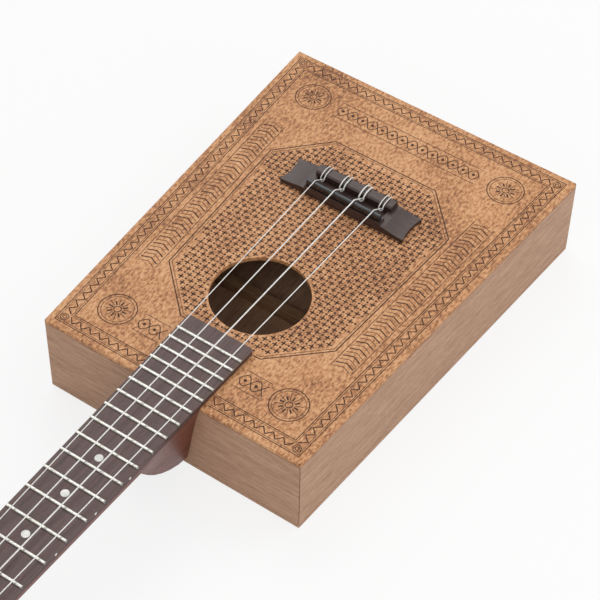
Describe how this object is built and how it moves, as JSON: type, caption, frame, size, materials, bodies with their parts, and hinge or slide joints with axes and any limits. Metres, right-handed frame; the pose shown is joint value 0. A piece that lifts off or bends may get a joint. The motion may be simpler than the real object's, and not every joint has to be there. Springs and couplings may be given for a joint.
{
  "type": "cigar box ukulele",
  "caption": "Box-bodied ukulele with a round sound hole, fretted neck, tie bridge and worm-gear tuning machines.",
  "frame": {"origin": "middle of the back plate's flat outer face", "axes": "+Z out of the top plate, +Y towards the tail, the neck runs towards -Y"},
  "size_m": [0.209, 0.6172, 0.0712],
  "materials": {
    "top": "satin engraved veneer",
    "body": "matte",
    "framing": "raw",
    "neck": "semi-gloss stain",
    "fingerboard": "oiled",
    "bridge": "satin",
    "saddle": "glossy",
    "nut": "satin",
    "fret": "polished",
    "string": "satin",
    "chrome": "polished",
    "worm": "satin",
    "button": "glossy"
  },
  "bodies": {
    "instrument": {"top_plate": "top", "back_plate": "body", "neck_end_board": "body", "bass_side_board": "body", "tail_board": "body", "treble_side_board": "body", "top_lining": "framing", "back_lining": "framing", "neck_block": "body", "top_brace": "framing", "back_brace": "framing", "bridge_plate": "body", "neck": "neck", "fingerboard": "fingerboard", "nut": "nut", "bridge": "bridge", "saddle": "saddle", "fret_01": "fret", "fret_02": "fret", "fret_03": "fret", "fret_04": "fret", "fret_05": "fret", "fret_06": "fret", "fret_07": "fret", "fret_08": "fret", "fret_09": "fret", "fret_10": "fret", "fret_11": "fret", "fret_12": "fret", "fret_13": "fret", "fret_14": "fret", "fret_15": "fret", "fret_16": "fret", "fret_17": "fret", "fret_18": "fret", "string_a": "string", "string_e": "string", "string_c": "string", "string_g": "string", "tuner_plate_a": "chrome", "tuner_plate_e": "chrome", "tuner_plate_c": "chrome", "tuner_plate_g": "chrome"},
    "post_a": {"string_post_a": "chrome", "winding_a": "string"},
    "button_a": {"worm_shaft_a": "worm", "button_a": "button"},
    "post_e": {"string_post_e": "chrome", "winding_e": "string"},
    "button_e": {"worm_shaft_e": "worm", "button_e": "button"},
    "post_c": {"string_post_c": "chrome", "winding_c": "string"},
    "button_c": {"worm_shaft_c": "worm", "button_c": "button"},
    "post_g": {"string_post_g": "chrome", "winding_g": "string"},
    "button_g": {"worm_shaft_g": "worm", "button_g": "button"}
  },
  "joints": [
    {"name": "button_turn_a", "type": "hinge", "parent": "instrument", "child": "button_a", "pos_m": [-0.0175, -0.38096, 0.03621], "axis": [1, 0, 0], "continuous": true},
    {"name": "post_turn_a", "type": "hinge", "parent": "instrument", "child": "post_a", "pos_m": [-0.0175, -0.39273, 0.05068], "axis": [0, 0.2079, -0.9781], "continuous": true},
    {"name": "button_turn_e", "type": "hinge", "parent": "instrument", "child": "button_e", "pos_m": [-0.019, -0.42595, 0.02665], "axis": [1, 0, 0], "continuous": true},
    {"name": "post_turn_e", "type": "hinge", "parent": "instrument", "child": "post_e", "pos_m": [-0.019, -0.43772, 0.04112], "axis": [0, 0.2079, -0.9781], "continuous": true},
    {"name": "button_turn_c", "type": "hinge", "parent": "instrument", "child": "button_c", "pos_m": [0.019, -0.42595, 0.02665], "axis": [1, 0, 0], "continuous": true},
    {"name": "post_turn_c", "type": "hinge", "parent": "instrument", "child": "post_c", "pos_m": [0.019, -0.43772, 0.04112], "axis": [0, -0.2079, 0.9781], "continuous": true},
    {"name": "button_turn_g", "type": "hinge", "parent": "instrument", "child": "button_g", "pos_m": [0.0175, -0.38096, 0.03621], "axis": [1, 0, 0], "continuous": true},
    {"name": "post_turn_g", "type": "hinge", "parent": "instrument", "child": "post_g", "pos_m": [0.0175, -0.39273, 0.05068], "axis": [0, -0.2079, 0.9781], "continuous": true}
  ],
  "couplings": [
    {"joint": "post_turn_a", "follows": "button_turn_a", "ratio": 0.071429},
    {"joint": "post_turn_e", "follows": "button_turn_e", "ratio": 0.071429},
    {"joint": "post_turn_c", "follows": "button_turn_c", "ratio": 0.071429},
    {"joint": "post_turn_g", "follows": "button_turn_g", "ratio": 0.071429}
  ]
}
